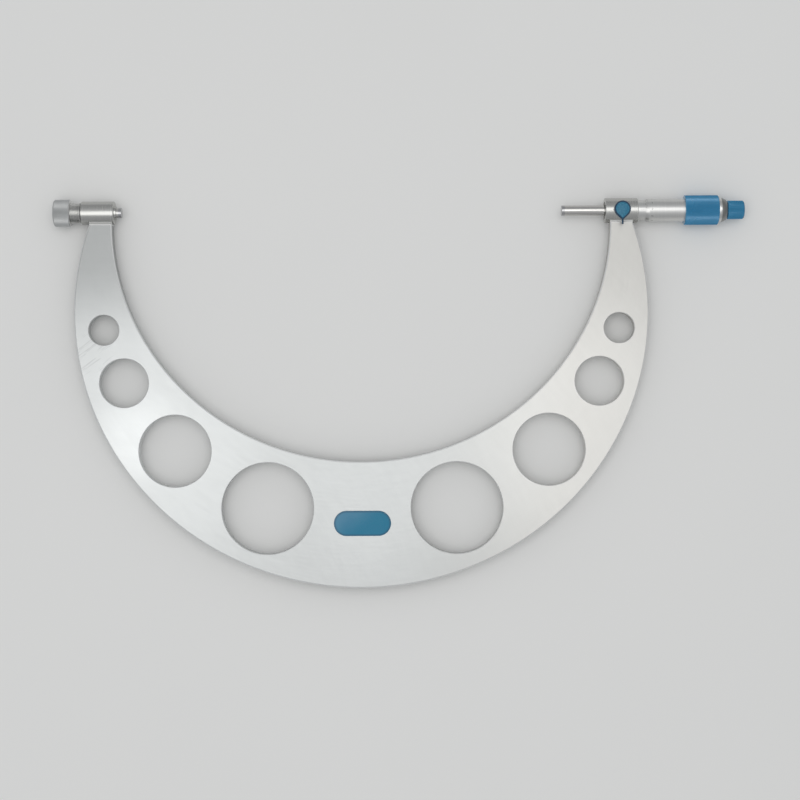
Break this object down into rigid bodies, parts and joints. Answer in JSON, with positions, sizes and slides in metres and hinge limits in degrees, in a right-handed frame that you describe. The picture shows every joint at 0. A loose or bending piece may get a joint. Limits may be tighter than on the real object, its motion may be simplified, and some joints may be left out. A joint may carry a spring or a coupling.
{
  "type": "interchangeable anvil micrometer",
  "caption": "Large outside micrometer: flat C-shaped bow with round lightening holes, ratchet head with lever lock, and a plain anvil held by a screw cap.",
  "frame": {"origin": "centre of the anvil's measuring face", "axes": "+X along the measuring axis, from anvil to head. +Y out of the mouth of the bow. +Z out of the face with the badge and the lock lever. It lies flat, as in its case."},
  "size_m": [0.4319, 0.2444, 0.0201],
  "materials": {
    "frame_silver": "satin chromed plate, fine grinding marks",
    "satin_chrome": "satin chrome",
    "polished_steel": "ground and polished",
    "cap_steel": "turned, fine knurl",
    "tool_steel": "turned and ground",
    "carbide": "lapped",
    "spring_steel": "drawn wire",
    "brass": "turned",
    "blue": "satin blue",
    "blue_grip": "knurled, satin blue"
  },
  "bodies": {
    "frame": {"frame": "frame_silver", "frame_badge": "blue", "nut_body": "tool_steel", "scale_sleeve": "satin_chrome", "adjusting_nut": "tool_steel", "lock_pad": "brass"},
    "anvil": {"anvil": "tool_steel", "anvil_tip": "carbide"},
    "cap": {"anvil_cap": "cap_steel"},
    "spindle": {"spindle": "polished_steel", "spindle_tip": "carbide"},
    "thimble": {"thimble": "satin_chrome", "thimble_grip": "blue_grip", "ratchet_body": "tool_steel", "ratchet_screw": "tool_steel"},
    "knob": {"ratchet_knob": "blue_grip", "ratchet_ring": "tool_steel", "ratchet_spring": "spring_steel"},
    "lock": {"lock_screw": "tool_steel", "lock_lever": "blue"}
  },
  "joints": [
    {"name": "anvil_draw", "type": "slide", "parent": "frame", "child": "anvil", "axis": [-1, 0, 0], "range_m": [0, 0.034]},
    {"name": "cap_turn", "type": "hinge", "parent": "anvil", "child": "cap", "pos_m": [-0.0377, 0, 0], "axis": [-1, 0, 0], "range_deg": [0, 2520]},
    {"name": "spindle_travel", "type": "slide", "parent": "frame", "child": "spindle", "axis": [1, 0, 0], "range_m": [0, 0.025]},
    {"name": "thimble_turn", "type": "hinge", "parent": "spindle", "child": "thimble", "pos_m": [0.35, 0, 0], "axis": [1, 0, 0], "range_deg": [0, 18000]},
    {"name": "ratchet_slip", "type": "hinge", "parent": "thimble", "child": "knob", "pos_m": [0.384, 0, 0], "axis": [1, 0, 0], "continuous": true},
    {"name": "lock_turn", "type": "hinge", "parent": "frame", "child": "lock", "pos_m": [0.31225, 0, 0.0084], "axis": [0, 0, -1], "range_deg": [0, 60]}
  ],
  "couplings": [
    {"joint": "thimble_turn", "follows": "spindle_travel", "rad_per_m": 12566}
  ]
}
